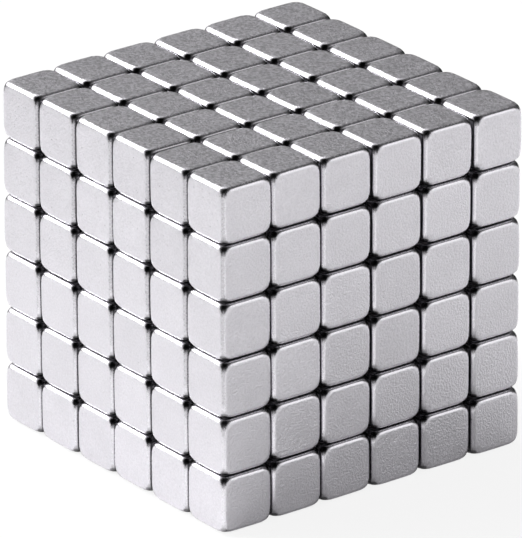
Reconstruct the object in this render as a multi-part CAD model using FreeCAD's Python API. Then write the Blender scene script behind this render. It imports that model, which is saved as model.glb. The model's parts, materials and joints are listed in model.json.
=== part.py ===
"""Magnetic desk sculpture: a free-standing block of 216 loose cube magnets, six along each side.

Every piece is the same: a sintered magnet cube with a thin nickel plating, whose edges are rounded and whose
corners are worn off by tumbling. Nothing else holds the block together. The cubes form rods, the rods form
layers, and the layers form the block, so each rod, layer and top cube can be moved by hand.

Frame: millimetres, +Z up, origin at the middle of the block's underside. Rods run along X. Rod 1 is the front
one, at -Y. Cube 1 of a rod is its left one, at -X. Layer 1 is the lowest.

Nodes: each of the five lower layers is six rods of six cubes. In the top layer each rod is a middle pair and
four single cubes, which can be picked off one at a time.
"""
import FreeCAD, Part
import os

# Driving dimensions
CUBE_SIDE = 5.0
AIR_GAP = 0.05            # between neighbours, from the tolerance of the cubes and their plating
EDGE_RADIUS = 0.4         # rounding of a cube's twelve edges
CORNER_SPHERE = 3.8       # radius of the sphere about a cube's centre that its worn corners lie on
CUBES_PER_SIDE = 6        # cubes in a rod, rods in a layer and layers in the block
TOP_PAIR = (3, 4)         # the cubes of a top rod that stay together

# Worked out from them
PITCH = CUBE_SIDE + AIR_GAP
FIRST_CENTRE = -(CUBES_PER_SIDE - 1) / 2 * PITCH
NUMBERS = range(1, CUBES_PER_SIDE + 1)
TOP_LAYER = CUBES_PER_SIDE


def magnet_cube():
    """One magnet, centred on the origin."""
    corner = FreeCAD.Vector(1, 1, 1) * (-CUBE_SIDE / 2)
    block = Part.makeBox(CUBE_SIDE, CUBE_SIDE, CUBE_SIDE, corner)
    rounded = block.makeFillet(EDGE_RADIUS, block.Edges)
    worn = rounded.common(Part.makeSphere(CORNER_SPHERE))
    return worn.Solids[0]


def centre_of(layer, rod, cube):
    """The middle of one magnet in the block."""
    x = FIRST_CENTRE + (cube - 1) * PITCH
    y = FIRST_CENTRE + (rod - 1) * PITCH
    z = CUBE_SIDE / 2 + (layer - 1) * PITCH
    return FreeCAD.Vector(x, y, z)


def magnets(cube_shape, layer, rod, cubes):
    """The named cubes of one rod, as separate solids."""
    return Part.makeCompound([cube_shape.translated(centre_of(layer, rod, cube)) for cube in cubes])


def block_nodes(cube_shape):
    """Every node's name and shape."""
    nodes = {}
    for layer in range(1, TOP_LAYER):
        for rod in NUMBERS:
            nodes[f"layer_{layer}_rod_{rod}"] = magnets(cube_shape, layer, rod, NUMBERS)
    for rod in NUMBERS:
        nodes[f"top_rod_{rod}_pair"] = magnets(cube_shape, TOP_LAYER, rod, TOP_PAIR)
        for cube in NUMBERS:
            if cube not in TOP_PAIR:
                nodes[f"top_rod_{rod}_cube_{cube}"] = magnets(cube_shape, TOP_LAYER, rod, [cube])
    return nodes


def main():
    os.makedirs("parts", exist_ok=True)
    cube_shape = magnet_cube()
    nodes = block_nodes(cube_shape)
    for name, shape in nodes.items():
        shape.exportStep(f"parts/{name}.step")
    print(len(nodes), "nodes,", sum(len(shape.Solids) for shape in nodes.values()), "magnets")
    print("one magnet:", len(cube_shape.Faces), "faces,", round(cube_shape.Volume, 3), "mm3")


main()
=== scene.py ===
"""Looks of the magnetic desk sculpture: a block of satin nickel-plated magnet cubes, six along each side.

Every CAD node is replaced by one finely meshed piece that holds the same cubes. Each cube has rounded edges
and worn corners, and lies up to half a millimetre off its place in the CAD, as in a block stacked by hand.
Lengths are in metres.
"""
import json
import math

import bpy
import numpy as np
from mathutils import Matrix, Vector


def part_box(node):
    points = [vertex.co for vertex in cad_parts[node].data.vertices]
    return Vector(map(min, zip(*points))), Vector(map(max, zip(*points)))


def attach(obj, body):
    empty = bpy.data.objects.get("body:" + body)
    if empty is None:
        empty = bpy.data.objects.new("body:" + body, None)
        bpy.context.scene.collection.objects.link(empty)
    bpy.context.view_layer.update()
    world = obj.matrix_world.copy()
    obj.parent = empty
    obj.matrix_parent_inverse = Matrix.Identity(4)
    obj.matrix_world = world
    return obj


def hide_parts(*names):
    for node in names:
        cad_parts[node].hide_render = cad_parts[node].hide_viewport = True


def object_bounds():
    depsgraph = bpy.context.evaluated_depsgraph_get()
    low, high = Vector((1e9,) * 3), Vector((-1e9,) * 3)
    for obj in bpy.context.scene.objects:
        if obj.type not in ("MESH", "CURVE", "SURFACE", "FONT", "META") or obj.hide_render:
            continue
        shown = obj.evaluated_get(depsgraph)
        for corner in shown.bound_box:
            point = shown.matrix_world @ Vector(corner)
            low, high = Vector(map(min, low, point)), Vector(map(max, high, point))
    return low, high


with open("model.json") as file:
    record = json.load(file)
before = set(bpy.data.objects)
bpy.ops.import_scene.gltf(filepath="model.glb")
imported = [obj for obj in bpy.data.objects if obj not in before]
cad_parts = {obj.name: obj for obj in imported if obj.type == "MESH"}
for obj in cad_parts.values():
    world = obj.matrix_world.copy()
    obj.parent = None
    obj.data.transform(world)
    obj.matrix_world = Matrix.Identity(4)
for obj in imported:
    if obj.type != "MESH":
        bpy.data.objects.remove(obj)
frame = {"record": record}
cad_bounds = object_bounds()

MM = 0.001

# The block, as the frame has it
CUBES_PER_SIDE = 6
FIRST_NODE = "layer_1_rod_1"
BOUNDS_LOW, BOUNDS_HIGH = (np.array(corner) for corner in cad_bounds)
BLOCK_SIDE = float(BOUNDS_HIGH[0] - BOUNDS_LOW[0])
CUBE_SIDE = float(np.subtract(*reversed(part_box(FIRST_NODE)))[2])
PITCH = (BLOCK_SIDE - CUBE_SIDE) / (CUBES_PER_SIDE - 1)
BLOCK_MIDDLE = (BOUNDS_LOW + BOUNDS_HIGH) / 2

# One cube's shape
VISIBLE_SIDE = 4.95 * MM      # a cube's true side, a little under its nominal one
EDGE_RADIUS = 0.40 * MM
WORN_RADIUS = 3.84 * MM       # of the sphere that the worn corners lie on
WORN_BLEND = 0.30 * MM        # how softly a worn corner runs into the faces
FLAT_LINES = (0.0, 0.45, 0.75, 0.95, 1.0)     # mesh lines across half a flat face, as parts of it
ROUND_ANGLES = (11.25, 22.5, 33.75, 45)       # mesh lines round half an edge, in degrees

# How loosely the cubes are stacked: the gaps between neighbours along X from cube 1 on, along Y from rod 1 on
# and between layers, how far each layer leans back over the one below, how high the columns of two faces have
# slid, and how far the top rods have
STACK_SEED = 7
GAPS_X = (0.11 * MM, 0.17 * MM, 0.09 * MM, 0.17 * MM, 0.09 * MM)
GAPS_Y = (0.10 * MM, 0.12 * MM, 0.20 * MM, 0.22 * MM, 0.22 * MM)
GAP_Z = 0.09 * MM
FLUSH = BLOCK_SIDE / 2 - 0.06 * MM    # how far the front and right faces are from the middle
LEAN = 0.025 * MM
FRONT_RISE = (-0.01 * MM, -0.02 * MM, -0.01 * MM, 0.05 * MM, -0.02 * MM, 0.02 * MM)
RIGHT_RISE = (0.02 * MM, 0.04 * MM, 0.04 * MM, -0.01 * MM, -0.02 * MM, -0.02 * MM)
TOP_ROD_SLIDE = (0.06 * MM, -0.06 * MM, -0.02 * MM, 0.04 * MM, 0.10 * MM, 0.12 * MM)
OTHER_RISE = 0.02 * MM        # the other columns' and rods' play, each way
OTHER_SLIDE = 0.03 * MM
SHIFT = 0.012 * MM            # a cube's play each way
TWIST = math.radians(0.35)    # a cube's turn about each axis

# How far the cubes inside the block have drifted, by rod and by cube, so that no gap runs straight through.
# This is a guess, and because of it rods 5 and 6 of layers 1 to 5 cut into each other by up to 0.013 mm.
INNER_BOW_X = (0.04 * MM, 0.08 * MM, 0.08 * MM, 0.04 * MM)
INNER_BOW_Y = (0.10 * MM, 0.20 * MM, 0.20 * MM, 0.10 * MM)

# Painted shade in the crevices: how dark a corner is by the number of cubes that meet there, how dark the
# rim of a side is that touches a neighbour, and between which tilts off the -X, +X, -Y, +Y, -Z and +Z sides
# it fades out
CORNER_SHADE = {1: 0.5, 2: 0.75, 4: 0.95, 8: 0.95}
RIM_SHADE = 0.85
RIM_TILTS = ((20, 38), (20, 38), (10, 24), (10, 24), (28, 45), (8, 20))
Z_RIM_SHADE_SHARE = 0.65              # the share of the painted rim shade that the front and back edges of the Z sides have
CORNER_START = -0.02 * MM     # how much of a corner is ground off where its painted shade begins
CORNER_FULL = 0.07 * MM       # and where it is full

# Satin nickel: its darkest and lightest tones, the painted crevice shade's, how fine its patterns are, per
# metre, and how much each adds to the shade, which lies between the two tones
NICKEL_DARK = (0.50, 0.490, 0.516, 1)
NICKEL_LIGHT = (0.90, 0.882, 0.929, 1)
SHADE_COLOUR = (0.015, 0.015, 0.016, 1)
GRAIN_SCALE = 5500
DUST_SCALE = 3500
CLOUD_SCALE = 420
TONE_RANGE = 0.2              # the shade, up or down, that reaches either tone
CUBE_TONE = 0.022
GRAIN_TONE = 0.065
DUST_TONE = 0.24
CLOUD_TONE = 0.015
EDGE_TONE = 0.03
DUST_SLOPES = (0.7, 0.95)     # the normal's Z where dust begins to lie, and where it lies fully
GRAIN_DEPTH = 0.075 * MM
BUMP_FLAT = 0.9               # how strong the grain's bump is on the flat faces, and on the tumbled edges
BUMP_EDGE = 0.05
EDGE_FULL = 0.3               # the edge weight where it has faded to that
ROUGHNESS = (0.27, 0.37)
EDGE_POLISH = 0.10            # how much smoother the tumbled edges are

# The camera
CAMERA_AZIMUTH = math.radians(53.09)     # 0 looks along +Y and 90 along -X
CAMERA_ELEVATION = math.radians(22.70)
CAMERA_ROLL = math.radians(-0.34)
CAMERA_DISTANCE = 140 * PITCH
CAMERA_AIM = BLOCK_MIDDLE + np.array([0.254, -0.166, 0.012]) * PITCH
CAMERA_LENS = 575.4           # mm, on a 36 mm sensor

# The studio
FLOOR_LEFT_BACK = 0.13        # how far the board reaches behind and to the left of the block
FLOOR_RIGHT_FRONT = 0.60      # and to the right and in front of it
FLOOR_GREY = 0.86
FLOOR_GLOW = 0.85             # the share of the board that camera rays see as plain white, not as lit
BACKDROP = 1.0                # that white, which camera rays also see past the floor

# What stands round the block in the unlit studio. Each zone is a part of the sky: where it ends along some of
# the three axes, as (axis, from, to) of a unit direction, and how bright it is. The zones, cards and lights
# were found by trial, so that the three faces come out in the photo's tones.
STUDIO_GREY = 0.10
STUDIO_TINT = (1.0, 0.995, 1.0, 1)
ZONES = [
    ([(0, -0.25, -0.45), (1, 0.28, 0.10), (2, 0.08, 0.18)], 2.4),      # broad softbox at the left
    ([(0, 0.40, 0.58), (1, 0.05, 0.35), (2, 0.74, 0.50)], 1.3),        # white board at the right, behind
    ([(0, 0.15, -0.25), (1, 0.90, 0.35)], 0.265),                      # its glow on the wall behind the block
    ([(0, 0.40, 0.60), (1, -0.40, -0.60), (2, 0.50, 0.30)], 0.42),     # low wall behind the camera
]
DARK_ZONE = ((0.32, -0.48, 0.82), 0.76, 0.88)  # unlit room above the camera: its direction, start and full
HORIZON = (-0.10, 0.0)        # the heights of a unit direction between which the sky begins

# Grey cards on the floor that only the metal sees, as fans about the block's middle: name, middle direction
# and half angle in degrees from +X, nearest and farthest edge, and how bright and how solid the card is
CARDS = [
    ("front_card", -68, 54, 0.040, 0.25, 0.72, 0.8),
    ("back_card", 143, 34, 0.028, 0.25, 0.05, 1.0),
    ("right_card", 37, 40, 0.045, 0.25, 0.45, 0.42),
]
CARD_HEIGHT = 0.4 * MM
CARD_STEPS = 24

# Soft lights: name, the direction they come from, strength, how wide they look in degrees, and whether the
# metal mirrors them
SUNS = [
    ("key_light", (-0.80, -0.42, 0.60), 2.55, 30, True),
    ("fill_light", (0.1, 0.0, 1.0), 0.88, 90, False),
]


def cube_surface(half):
    """Points, normals, edge and corner weights and quads of one worn cube, centred on the origin."""
    flat = half - EDGE_RADIUS
    lines = [part * flat for part in FLAT_LINES]
    lines += [flat + EDGE_RADIUS * math.tan(math.radians(angle)) for angle in ROUND_ANGLES]
    stations = [-value for value in reversed(lines[1:])] + lines
    last = len(stations) - 1
    index = {}
    points = []

    def vertex(key):
        if key not in index:
            index[key] = len(points)
            points.append([stations[step] for step in key])
        return index[key]

    quads = []
    for axis in range(3):
        for side in (0, last):
            for a in range(last):
                for b in range(last):
                    corners = [(a, b), (a + 1, b), (a + 1, b + 1), (a, b + 1)]
                    if side == 0:
                        corners.reverse()
                    keys = [tuple(np.roll((side, *corner), axis)) for corner in corners]
                    quads.append([vertex(key) for key in keys])
    box_points = np.array(points)
    inner = np.clip(box_points, -flat, flat)
    outward = box_points - inner
    outward /= np.linalg.norm(outward, axis=1)[:, None]
    surface = inner + outward * EDGE_RADIUS
    for _ in range(4):
        depth = worn_depth(surface, flat)
        surface -= surface / np.linalg.norm(surface, axis=1)[:, None] * depth[:, None]
    normals = worn_normals(surface, flat)
    rounding = 1 - np.abs(normals).max(axis=1)
    edge = np.clip(rounding / (1 - math.sqrt(0.5)), 0, 1)
    ground_off = np.linalg.norm(inner + outward * EDGE_RADIUS, axis=1) - WORN_RADIUS
    corner = np.clip((ground_off - CORNER_START) / (CORNER_FULL - CORNER_START), 0, 1)
    rims = side_rims(box_points, outward, flat)
    return surface, normals, edge, corner, rims, np.array(quads)


def side_rims(box_points, outward, flat):
    """For each of the six sides, how far each point belongs to its rim, where the edges begin to round."""
    rims = []
    faces_y = np.abs(box_points[:, 1]) > np.abs(box_points[:, 0])
    for side, tilts in enumerate(RIM_TILTS):
        axis, sign = side // 2, (-1, 1)[side % 2]
        lateral = np.delete(np.abs(box_points), axis, axis=1).max(axis=1)
        tilt = np.degrees(np.arccos(np.clip(sign * outward[:, axis], -1, 1)))
        rim = np.interp(tilt, tilts, (1, 0))
        if axis == 2:
            rim = np.where(faces_y, np.interp(tilt, RIM_TILTS[-1], (Z_RIM_SHADE_SHARE, 0)), rim)
        rims.append(rim * (lateral > flat * 0.99))
    return np.array(rims)


def worn_depth(points, flat):
    """How far each point lies outside a rounded box whose corners are worn down to a sphere."""
    beyond = np.abs(points) - flat
    outside = np.linalg.norm(np.maximum(beyond, 0), axis=1)
    box = outside + np.minimum(beyond.max(axis=1), 0) - EDGE_RADIUS
    sphere = np.linalg.norm(points, axis=1) - WORN_RADIUS
    overlap = np.maximum(WORN_BLEND - np.abs(box - sphere), 0) / WORN_BLEND
    return np.maximum(box, sphere) + overlap ** 2 * WORN_BLEND / 4


def worn_normals(points, flat):
    """Outward normals of the same surface, from small steps along each axis."""
    step = 1e-3 * MM
    steps = np.eye(3) * step
    slopes = [worn_depth(points + move, flat) - worn_depth(points - move, flat) for move in steps]
    normals = np.stack(slopes, axis=1)
    return normals / np.linalg.norm(normals, axis=1)[:, None]


def stacked(gaps, flush):
    """Where the middles of six cubes lie that start flush with a face and have the given gaps."""
    steps = np.concatenate([[0], np.cumsum(np.array(gaps) + VISIBLE_SIDE)])
    return flush + VISIBLE_SIDE / 2 + steps


def cube_places(node):
    """The (cube, rod, layer) indices of each cube of a CAD node, counted from 0, in order along X."""
    low, high = (np.array(corner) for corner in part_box(node))
    count = round((high[0] - low[0] - CUBE_SIDE) / PITCH) + 1
    first = [int(place) for place in np.round((low - BOUNDS_LOW) / PITCH)]
    return [(first[0] + step, first[1], first[2]) for step in range(count)]


def loose_stack():
    """The middle of every cube, by its cube, rod and layer indices."""
    rng = np.random.default_rng(STACK_SEED + 1)
    size = (CUBES_PER_SIDE, CUBES_PER_SIDE)
    rise = rng.uniform(-OTHER_RISE, OTHER_RISE, size)
    rise[:, 0] = FRONT_RISE
    rise[-1, :] = RIGHT_RISE
    slide = rng.uniform(-OTHER_SLIDE, OTHER_SLIDE, size)
    slide[:, -1] = TOP_ROD_SLIDE
    x = -stacked(GAPS_X[::-1], -FLUSH)[::-1]
    y = stacked(GAPS_Y, -FLUSH)
    layers = np.arange(CUBES_PER_SIDE)
    centres = np.zeros(size + (CUBES_PER_SIDE, 3))
    centres[..., 0] = x[:, None, None] + slide[None]
    centres[..., 1] = y[None, :, None] + (layers - (CUBES_PER_SIDE - 1) / 2) * LEAN
    centres[..., 2] = CUBE_SIDE / 2 + layers * (VISIBLE_SIDE + GAP_Z) + rise[:, :, None]
    centres[1:-1, 1:-1, :-1, 0] += np.array(INNER_BOW_X)[None, :, None]
    centres[1:-1, 1:-1, :-1, 1] += np.array(INNER_BOW_Y)[:, None, None]
    return centres


def painted_crevice_shade(place, surface, corner, rims):
    """Painted shade: how dark each point of a cube is, by which of its six sides have a neighbour."""
    touches = np.array([[step > 0, step < CUBES_PER_SIDE - 1] for step in place])
    towards = (surface > 0).astype(int)
    meeting = sum(touches[axis][towards[:, axis]].astype(int) for axis in range(3))
    corner_shade = np.array([CORNER_SHADE[2 ** count] for count in range(4)])[meeting] * corner
    rim_shade = RIM_SHADE * (rims * touches.reshape(6)[:, None]).max(axis=0)
    return np.maximum(corner_shade, rim_shade)


def small_turn(rng):
    """A rotation by a small random angle about each axis."""
    rx, ry, rz = rng.uniform(-TWIST, TWIST, 3)
    turn = Matrix.Rotation(rx, 3, "X") @ Matrix.Rotation(ry, 3, "Y") @ Matrix.Rotation(rz, 3, "Z")
    return np.array(turn)


def magnet_piece(node, material, template, centres, rng):
    """One piece that stands for a CAD node: its cubes, each with its own play and tone."""
    surface, normals, edge, corner, rims, quads = template
    all_points, all_normals, all_quads, all_tones, all_shade = [], [], [], [], []
    places = cube_places(node)
    for number, place in enumerate(places):
        turn = small_turn(rng)
        shift = rng.uniform(-SHIFT, SHIFT, 3)
        all_points.append(surface @ turn.T + centres[place] + shift)
        all_normals.append(normals @ turn.T)
        all_quads.append(quads + number * len(surface))
        all_tones.append(np.full(len(surface), rng.uniform(-1, 1)))
        all_shade.append(painted_crevice_shade(place, surface, corner, rims))
    points = np.concatenate(all_points)
    mesh = bpy.data.meshes.new(f"{node}_magnets")
    mesh.from_pydata(points.tolist(), [], np.concatenate(all_quads).tolist())
    mesh.shade_smooth()
    mesh.normals_split_custom_set_from_vertices(np.concatenate(all_normals).tolist())
    attributes = {
        "edge": np.tile(edge, len(places)),
        "tone": np.concatenate(all_tones),
        # the painted shade of the crevices between cubes
        "crevice_shade": np.concatenate(all_shade),
    }
    for name, values in attributes.items():
        layer = mesh.attributes.new(name, "FLOAT", "POINT")
        layer.data.foreach_set("value", values.astype(np.float32))
    mesh.materials.append(material)
    piece = bpy.data.objects.new(f"{node}_magnets", mesh)
    bpy.context.scene.collection.objects.link(piece)
    return piece


class Nodes:
    """A short way to write shader nodes."""

    def __init__(self, tree):
        self.tree = tree
        tree.nodes.clear()

    def add(self, kind, inputs=None, **settings):
        node = self.tree.nodes.new(kind)
        for name, value in settings.items():
            setattr(node, name, value)
        for name, value in (inputs or {}).items():
            socket = node.inputs[name]
            if isinstance(value, bpy.types.NodeSocket):
                self.tree.links.new(value, socket)
            else:
                socket.default_value = value
        return node

    def attribute(self, name):
        return self.add("ShaderNodeAttribute", attribute_name=name).outputs["Fac"]

    def math(self, operation, a, b=0.0, c=0.0):
        return self.add("ShaderNodeMath", {0: a, 1: b, 2: c}, operation=operation).outputs[0]

    def ramp(self, value, low, high, to_low=0.0, to_high=1.0, smooth=True):
        inputs = {"Value": value, "From Min": low, "From Max": high, "To Min": to_low, "To Max": to_high}
        kind = "SMOOTHSTEP" if smooth else "LINEAR"
        return self.add("ShaderNodeMapRange", inputs, interpolation_type=kind).outputs["Result"]

    def mix(self, factor, a, b):
        inputs = {"Factor": factor, "A": a, "B": b}
        return self.add("ShaderNodeMix", inputs, data_type="RGBA").outputs["Result"]

    def noise(self, vector, scale, detail=2.0, roughness=0.5):
        inputs = {"Vector": vector, "Scale": scale, "Detail": detail, "Roughness": roughness}
        return self.add("ShaderNodeTexNoise", inputs).outputs["Fac"]


def nickel_material():
    """Satin nickel plating: an even fine grain, smoother at the edges, a little different on each cube."""
    material = bpy.data.materials.new("satin_nickel")
    material.use_nodes = True
    n = Nodes(material.node_tree)
    place = n.add("ShaderNodeTexCoord").outputs["Object"]
    edge = n.attribute("edge")
    tone = n.attribute("tone")
    # painted shade of the crevices, read from the mesh
    crevice_shade = n.attribute("crevice_shade")
    facing = n.add("ShaderNodeNewGeometry").outputs["Normal"]
    upward = n.add("ShaderNodeSeparateXYZ", {"Vector": facing}).outputs["Z"]
    grain = n.noise(place, GRAIN_SCALE, detail=2.5, roughness=0.65)
    specks = n.noise(place, DUST_SCALE, detail=2.0, roughness=0.6)
    dust = n.ramp(specks, 0.3, 0.7, -DUST_TONE, DUST_TONE, smooth=False)
    cloud = n.noise(place, CLOUD_SCALE, detail=2.0)
    shade = n.math("MULTIPLY", tone, CUBE_TONE)
    shade = n.math("ADD", shade, n.ramp(grain, 0.25, 0.75, -GRAIN_TONE, GRAIN_TONE, smooth=False))
    shade = n.math("ADD", shade, n.ramp(cloud, 0.3, 0.7, -CLOUD_TONE, CLOUD_TONE, smooth=False))
    shade = n.math("ADD", shade, n.math("MULTIPLY", edge, EDGE_TONE))
    shade = n.math("ADD", shade, n.math("MULTIPLY", dust, n.ramp(upward, *DUST_SLOPES)))
    factor = n.ramp(shade, -TONE_RANGE, TONE_RANGE, smooth=False)
    unshaded = n.mix(factor, NICKEL_DARK, NICKEL_LIGHT)
    # painted shade: the crevices between cubes are darkened towards near black, where their shadow falls
    colour = n.mix(crevice_shade, unshaded, SHADE_COLOUR)
    rough = n.ramp(grain, 0.25, 0.75, *ROUGHNESS, smooth=False)
    rough = n.math("MULTIPLY_ADD", edge, -EDGE_POLISH, rough)
    strength = n.ramp(edge, 0.0, EDGE_FULL, BUMP_FLAT, BUMP_EDGE)
    bump = n.add("ShaderNodeBump", {"Strength": strength, "Distance": GRAIN_DEPTH, "Height": grain})
    shader = n.add("ShaderNodeBsdfPrincipled",
                   {"Base Color": colour, "Metallic": 1.0, "Roughness": rough,
                    "Normal": bump.outputs["Normal"]})
    n.add("ShaderNodeOutputMaterial", {"Surface": shader.outputs["BSDF"]})
    return material


def floor_material():
    """Matt white board. Only camera rays see it mixed with plain white, which hides most of its shadows."""
    material = bpy.data.materials.new("studio_floor")
    material.use_nodes = True
    n = Nodes(material.node_tree)
    shader = n.add("ShaderNodeBsdfPrincipled", {"Base Color": (FLOOR_GREY, FLOOR_GREY, FLOOR_GREY, 1),
                                                "Roughness": 0.9, "Specular IOR Level": 0.1})
    white = n.add("ShaderNodeEmission", {"Color": (1, 1, 1, 1), "Strength": BACKDROP})
    share = n.math("MULTIPLY", n.add("ShaderNodeLightPath").outputs["Is Camera Ray"], FLOOR_GLOW)
    mixed = n.add("ShaderNodeMixShader",
                  {0: share, 1: shader.outputs["BSDF"], 2: white.outputs["Emission"]})
    n.add("ShaderNodeOutputMaterial", {"Surface": mixed.outputs["Shader"]})
    return material


def make_floor():
    mesh = bpy.data.meshes.new("floor")
    left, right, front, back = -FLOOR_LEFT_BACK, FLOOR_RIGHT_FRONT, -FLOOR_RIGHT_FRONT, FLOOR_RIGHT_FRONT
    corners = [(left, front, 0), (right, front, 0), (right, back, 0), (left, back, 0)]
    mesh.from_pydata(corners, [], [(0, 1, 2, 3)])
    mesh.materials.append(floor_material())
    floor = bpy.data.objects.new("floor", mesh)
    bpy.context.scene.collection.objects.link(floor)


def make_world():
    world = bpy.data.worlds.new("studio")
    world.use_nodes = True
    n = Nodes(world.node_tree)
    direction = n.add("ShaderNodeTexCoord").outputs["Generated"]
    parts = n.add("ShaderNodeSeparateXYZ", {"Vector": direction}).outputs
    light = STUDIO_GREY
    for limits, strength in ZONES:
        inside = strength
        for axis, start, full in limits:
            inside = n.math("MULTIPLY", n.ramp(parts[axis], start, full), inside)
        light = n.math("ADD", inside, light)
    towards, start, full = DARK_ZONE
    dark_way = Vector(towards).normalized()
    dot = n.add("ShaderNodeVectorMath", {0: direction, 1: dark_way}, operation="DOT_PRODUCT").outputs["Value"]
    light = n.math("MULTIPLY", light, n.ramp(dot, start, full, 1.0, 0.0))
    light = n.math("MULTIPLY", light, n.ramp(parts[2], *HORIZON))
    seen = n.add("ShaderNodeLightPath").outputs["Is Camera Ray"]
    strength = n.add("ShaderNodeMix", {"Factor": seen, "A": light, "B": BACKDROP}).outputs["Result"]
    background = n.add("ShaderNodeBackground", {"Color": STUDIO_TINT, "Strength": strength})
    n.add("ShaderNodeOutputWorld", {"Surface": background.outputs["Background"]})
    bpy.context.scene.world = world


def card_material(name, brightness, solid):
    """A flat tone that fades out at the fan's two sides."""
    material = bpy.data.materials.new(name)
    material.use_nodes = True
    n = Nodes(material.node_tree)
    glow = n.add("ShaderNodeEmission", {"Color": (brightness, brightness, brightness, 1)})
    clear = n.add("ShaderNodeBsdfTransparent")
    cover = n.math("MULTIPLY", n.attribute("cover"), solid)
    mixed = n.add("ShaderNodeMixShader", {0: cover, 1: clear.outputs["BSDF"], 2: glow.outputs["Emission"]})
    n.add("ShaderNodeOutputMaterial", {"Surface": mixed.outputs["Shader"]})
    return material


def make_card(name, towards, half_angle, near, far, brightness, solid):
    """A fan-shaped card that shapes the block's reflections and that the camera doesn't see."""
    points, cover = [], []
    for step in range(CARD_STEPS + 1):
        part = 2 * step / CARD_STEPS - 1
        angle = math.radians(towards + part * half_angle)
        for radius in (near, far):
            points.append((radius * math.cos(angle), radius * math.sin(angle), CARD_HEIGHT))
            cover.append(min(1, 2 * (1 - abs(part))))
    faces = [(2 * step, 2 * step + 1, 2 * step + 3, 2 * step + 2) for step in range(CARD_STEPS)]
    mesh = bpy.data.meshes.new(name)
    mesh.from_pydata(points, [], faces)
    mesh.attributes.new("cover", "FLOAT", "POINT").data.foreach_set("value", cover)
    mesh.materials.append(card_material(name, brightness, solid))
    card = bpy.data.objects.new(name, mesh)
    card.visible_camera = False
    card.visible_diffuse = False
    card.visible_shadow = False
    bpy.context.scene.collection.objects.link(card)


def make_sun(name, towards, strength, angle, in_metal):
    """A soft light from one direction, which the metal may or may not mirror."""
    light = bpy.data.lights.new(name, "SUN")
    light.energy = strength
    light.angle = math.radians(angle)
    sun = bpy.data.objects.new(name, light)
    sun.visible_glossy = in_metal
    sun.rotation_euler = Vector(towards).to_track_quat("Z", "Y").to_euler()
    bpy.context.scene.collection.objects.link(sun)


def make_camera():
    """A long lens at the block's front right corner, looking a little down."""
    flat = math.cos(CAMERA_ELEVATION)
    height = math.sin(CAMERA_ELEVATION)
    back = Vector((math.sin(CAMERA_AZIMUTH) * flat, -math.cos(CAMERA_AZIMUTH) * flat, height))
    level = Vector((0, 0, 1)).cross(back).normalized()
    upright = back.cross(level)
    right = level * math.cos(CAMERA_ROLL) + upright * math.sin(CAMERA_ROLL)
    up = back.cross(right)
    data = bpy.data.cameras.new("camera")
    data.lens = CAMERA_LENS
    data.sensor_width = 36
    data.clip_start = 0.01
    data.clip_end = 20
    camera = bpy.data.objects.new("camera", data)
    place = Matrix((right, up, back)).transposed().to_4x4()
    place.translation = Vector(CAMERA_AIM) + back * CAMERA_DISTANCE
    camera.matrix_world = place
    bpy.context.scene.collection.objects.link(camera)
    bpy.context.scene.camera = camera


def make_block():
    """One piece for each CAD node."""
    record = frame["record"]
    material = nickel_material()
    template = cube_surface(VISIBLE_SIDE / 2)
    centres = loose_stack()
    rng = np.random.default_rng(STACK_SEED)
    for body, nodes in record["behaviour"]["bodies"].items():
        for node in nodes:
            piece = magnet_piece(node, material, template, centres, rng)
            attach(piece, body)
            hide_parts(node)


make_camera()
make_floor()
for card in CARDS:
    make_card(*card)
make_world()
for sun in SUNS:
    make_sun(*sun)
make_block()
bpy.context.scene.view_settings.view_transform = "Standard"
